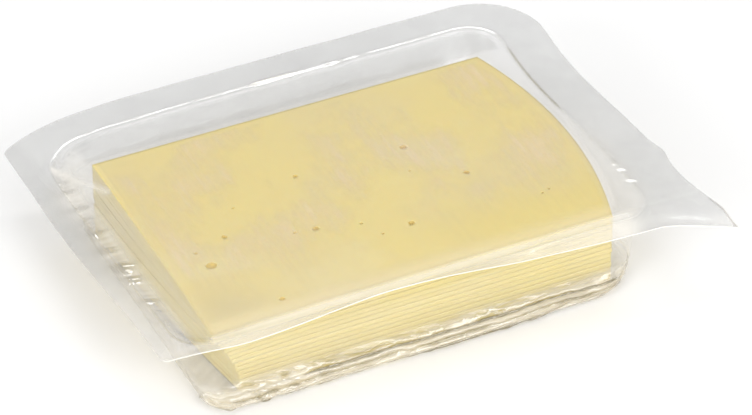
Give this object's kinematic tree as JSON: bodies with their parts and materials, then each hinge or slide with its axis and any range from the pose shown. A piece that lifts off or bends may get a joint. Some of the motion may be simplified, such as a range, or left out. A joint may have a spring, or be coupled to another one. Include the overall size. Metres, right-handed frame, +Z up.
{
  "type": "sealed pack of sliced cheese",
  "caption": "Flat see-through film pack with a wide sealed flange, holding a neat stack of pale yellow cheese slices with a rounded rind end.",
  "frame": {"origin": "centre of the pack's box in plan, on the surface that it lies on", "axes": "+X along the long side of the stack towards the rounded rind end, +Y from the front face to the back, +Z up through the lid"},
  "size_m": [0.2066, 0.1466, 0.0335],
  "materials": {
    "cheese": "moist, smooth semi-hard cheese with a slight sheen",
    "tray_film": "clear soft film, wrinkled and shiny",
    "lid_film": "clear soft film, smooth and shiny"
  },
  "bodies": {
    "root": {"tray_film": "tray_film", "lid_film": "lid_film", "slice_01": "cheese", "slice_02": "cheese", "slice_03": "cheese", "slice_04": "cheese", "slice_05": "cheese", "slice_06": "cheese", "slice_07": "cheese", "slice_08": "cheese", "slice_09": "cheese", "slice_10": "cheese", "slice_11": "cheese", "slice_12": "cheese", "slice_13": "cheese", "slice_14": "cheese"}
  },
  "joints": []
}
